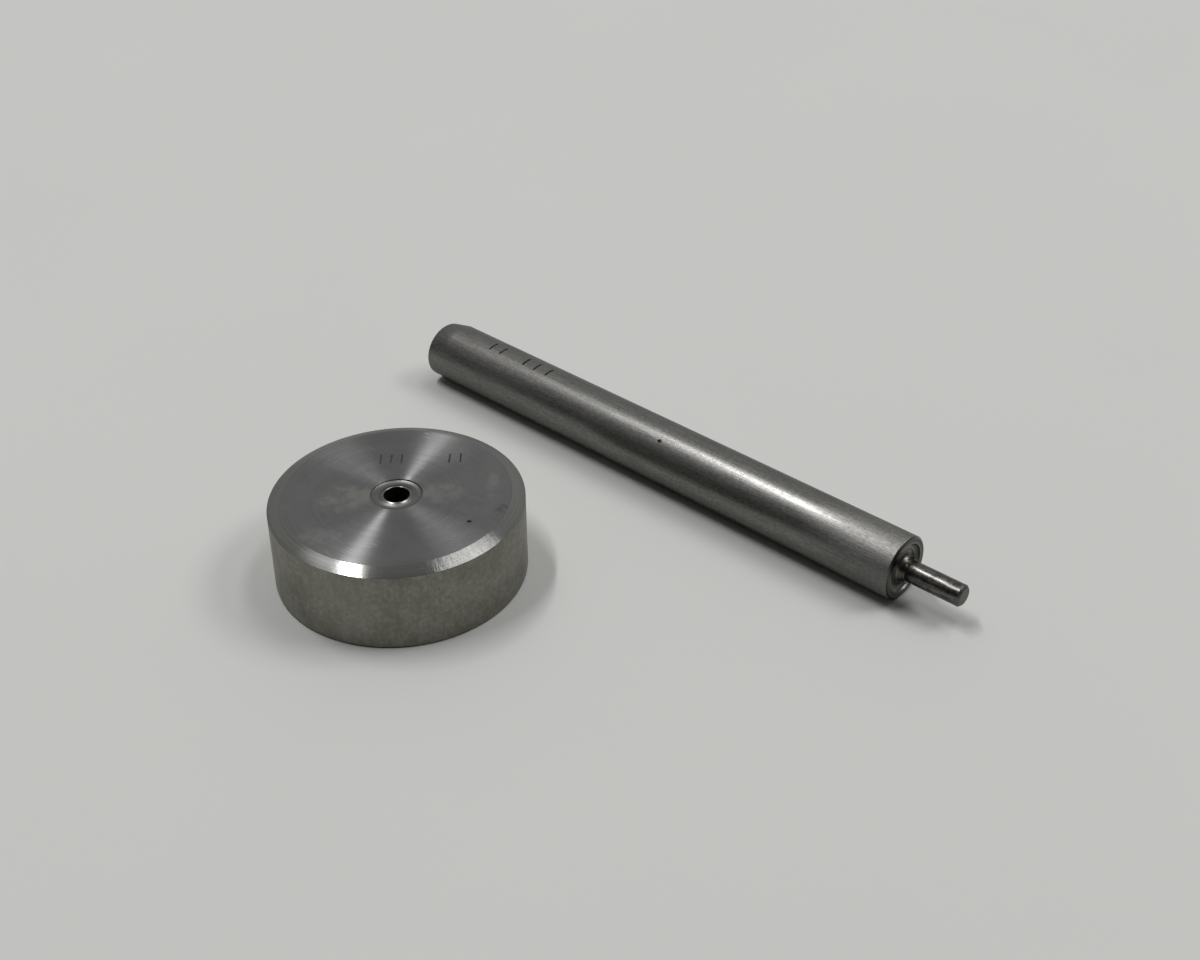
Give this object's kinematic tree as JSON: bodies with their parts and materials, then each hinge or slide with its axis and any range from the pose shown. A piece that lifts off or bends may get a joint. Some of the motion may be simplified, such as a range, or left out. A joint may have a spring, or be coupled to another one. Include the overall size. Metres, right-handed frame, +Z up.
{
  "type": "eyelet setter",
  "caption": "Hand eyelet setter: a round chamfered anvil with a seat ring and through bore, and a loose round-bar setter with a curling face and a pilot.",
  "frame": {"origin": "centre of the anvil's foot, on the axis of its bore, at bench level", "axes": "+Z up along the bore, out of the anvil's working face; +X and +Y lie on the bench, with the setter lying across the +X +Y side"},
  "size_m": [0.1277, 0.0985, 0.0167],
  "materials": {
    "anvil_steel": "turned face, bright chamfer, plain drawn side",
    "shank_steel": "cold-drawn bar, satin along its length",
    "pilot_steel": "ground pin, brighter than the shank"
  },
  "bodies": {
    "anvil_body": {"anvil": "anvil_steel"},
    "setter_body": {"setter_shank": "shank_steel", "pilot_pin": "pilot_steel"}
  },
  "joints": [
    {"name": "setter_lift", "type": "slide", "parent": "anvil_body", "child": "setter_body", "axis": [0, 0, 1], "range_m": [0, 0.15]}
  ]
}
